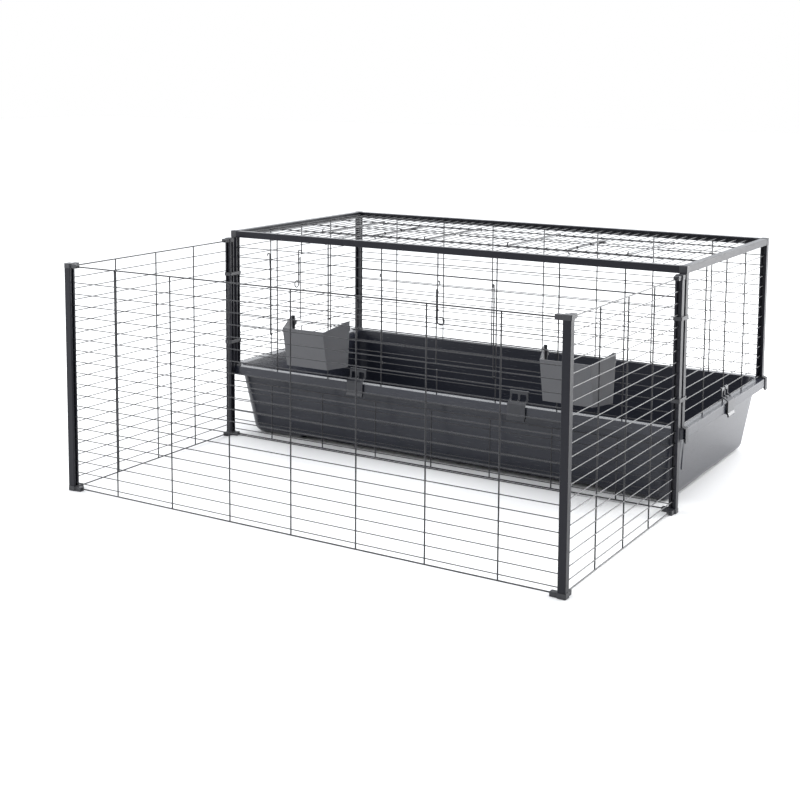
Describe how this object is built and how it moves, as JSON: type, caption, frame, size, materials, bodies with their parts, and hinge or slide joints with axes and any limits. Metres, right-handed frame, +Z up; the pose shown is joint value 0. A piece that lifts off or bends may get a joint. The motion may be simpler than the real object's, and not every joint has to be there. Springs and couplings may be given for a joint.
{
  "type": "rodent cage",
  "caption": "Low wire cage with a deep plastic floor tray, a square-section frame, hinged wire doors and roof hatches, hung feeders, and a wire run fenced off in front.",
  "frame": {"origin": "bottom centre of the whole assembly's bounding box, on the floor; it lies under the middle of the cage's front posts", "axes": "+Z up; +Y from the run towards the back of the cage; +X to the right for someone facing the cage's front"},
  "size_m": [1.225, 1.21, 0.5296],
  "materials": {
    "tray_plastic": "moulded dark grey plastic with a soft gloss",
    "clip_plastic": "moulded grey plastic, smooth",
    "feeder_plastic": "moulded grey plastic, fine grain",
    "coated_wire": "black coated steel wire, satin",
    "frame_profile": "charcoal powder-coated profile, satin",
    "fitting_plastic": "black moulded plastic, matte"
  },
  "bodies": {
    "cage": {"back_mesh": "coated_wire", "cage_post_back_left": "frame_profile", "cage_post_back_right": "frame_profile", "cage_post_front_left": "frame_profile", "cage_post_front_right": "frame_profile", "front_mesh": "coated_wire", "left_mesh": "coated_wire", "pen_cap_front_left": "fitting_plastic", "pen_cap_front_right": "fitting_plastic", "pen_cap_rear_left": "fitting_plastic", "pen_cap_rear_right": "fitting_plastic", "pen_foot_front_left": "fitting_plastic", "pen_foot_front_right": "fitting_plastic", "pen_foot_rear_left": "fitting_plastic", "pen_foot_rear_right": "fitting_plastic", "pen_front_mesh": "coated_wire", "pen_left_mesh": "coated_wire", "pen_post_front_left": "frame_profile", "pen_post_front_right": "frame_profile", "pen_post_rear_left": "frame_profile", "pen_post_rear_right": "frame_profile", "pen_rear_low_mesh": "coated_wire", "pen_right_mesh": "coated_wire", "post_clip_left_lower": "fitting_plastic", "post_clip_left_upper": "fitting_plastic", "post_clip_right_lower": "fitting_plastic", "post_clip_right_upper": "fitting_plastic", "right_mesh": "coated_wire", "rim_foot_back_left": "fitting_plastic", "rim_foot_back_right": "fitting_plastic", "rim_foot_front_left": "fitting_plastic", "rim_foot_front_right": "fitting_plastic", "roof_mesh": "coated_wire", "top_corner_back_left": "fitting_plastic", "top_corner_back_right": "fitting_plastic", "top_corner_front_left": "fitting_plastic", "top_corner_front_right": "fitting_plastic", "top_rail_back": "frame_profile", "top_rail_front": "frame_profile", "top_rail_left": "frame_profile", "top_rail_right": "frame_profile", "tray": "tray_plastic"},
    "front_door": {"front_door": "coated_wire"},
    "front_door_latch": {"front_door_latch": "coated_wire"},
    "side_door": {"side_door": "coated_wire"},
    "side_door_latch": {"side_door_latch": "coated_wire"},
    "roof_door_left": {"roof_door_left": "coated_wire"},
    "roof_door_left_latch": {"roof_door_left_latch": "coated_wire"},
    "roof_door_right": {"roof_door_right": "coated_wire"},
    "roof_door_right_latch": {"roof_door_right_latch": "coated_wire"},
    "feeder_left": {"feeder_left": "feeder_plastic"},
    "feeder_right": {"feeder_right": "feeder_plastic"},
    "tray_clip_front_left": {"tray_clip_front_left": "clip_plastic"},
    "tray_clip_front_right": {"tray_clip_front_right": "clip_plastic"},
    "tray_clip_left": {"tray_clip_left": "clip_plastic"},
    "tray_clip_right": {"tray_clip_right": "clip_plastic"}
  },
  "joints": [
    {"name": "front_door_hinge", "type": "hinge", "parent": "cage", "child": "front_door", "pos_m": [0, -0.0015, 0.234], "axis": [1, 0, 0], "range_deg": [0, 150]},
    {"name": "front_door_latch_slide", "type": "slide", "parent": "front_door", "child": "front_door_latch", "axis": [0, 0, 1], "range_m": [-0.0044, 0.008]},
    {"name": "side_door_hinge", "type": "hinge", "parent": "cage", "child": "side_door", "pos_m": [-0.5915, 0.295, 0.234], "axis": [0, -1, 0], "range_deg": [0, 95]},
    {"name": "side_door_latch_slide", "type": "slide", "parent": "side_door", "child": "side_door_latch", "axis": [0, 0, 1], "range_m": [-0.0044, 0.008]},
    {"name": "roof_door_left_hinge", "type": "hinge", "parent": "cage", "child": "roof_door_left", "pos_m": [-0.2625, 0.4387, 0.517], "axis": [-1, 0, 0], "range_deg": [0, 150]},
    {"name": "roof_door_left_latch_slide", "type": "slide", "parent": "roof_door_left", "child": "roof_door_left_latch", "axis": [0, -1, 0], "range_m": [-0.0044, 0.008]},
    {"name": "roof_door_right_hinge", "type": "hinge", "parent": "cage", "child": "roof_door_right", "pos_m": [0.2625, 0.4387, 0.517], "axis": [-1, 0, 0], "range_deg": [0, 150]},
    {"name": "roof_door_right_latch_slide", "type": "slide", "parent": "roof_door_right", "child": "roof_door_right_latch", "axis": [0, -1, 0], "range_m": [-0.0044, 0.008]},
    {"name": "tray_clip_front_left_hinge", "type": "hinge", "parent": "cage", "child": "tray_clip_front_left", "pos_m": [-0.216, -0.0015, 0.209], "axis": [-1, 0, 0], "range_deg": [0, 75]},
    {"name": "tray_clip_front_right_hinge", "type": "hinge", "parent": "cage", "child": "tray_clip_front_right", "pos_m": [0.216, -0.0015, 0.209], "axis": [-1, 0, 0], "range_deg": [0, 75]},
    {"name": "tray_clip_left_hinge", "type": "hinge", "parent": "cage", "child": "tray_clip_left", "pos_m": [-0.5915, 0.295, 0.209], "axis": [0, 1, 0], "range_deg": [0, 75]},
    {"name": "tray_clip_right_hinge", "type": "hinge", "parent": "cage", "child": "tray_clip_right", "pos_m": [0.5915, 0.295, 0.209], "axis": [0, -1, 0], "range_deg": [0, 75]},
    {"name": "feeder_left_lift", "type": "slide", "parent": "cage", "child": "feeder_left", "axis": [0, 0, 1], "range_m": [0, 0.012]},
    {"name": "feeder_right_lift", "type": "slide", "parent": "cage", "child": "feeder_right", "axis": [0, 0, 1], "range_m": [0, 0.012]}
  ]
}
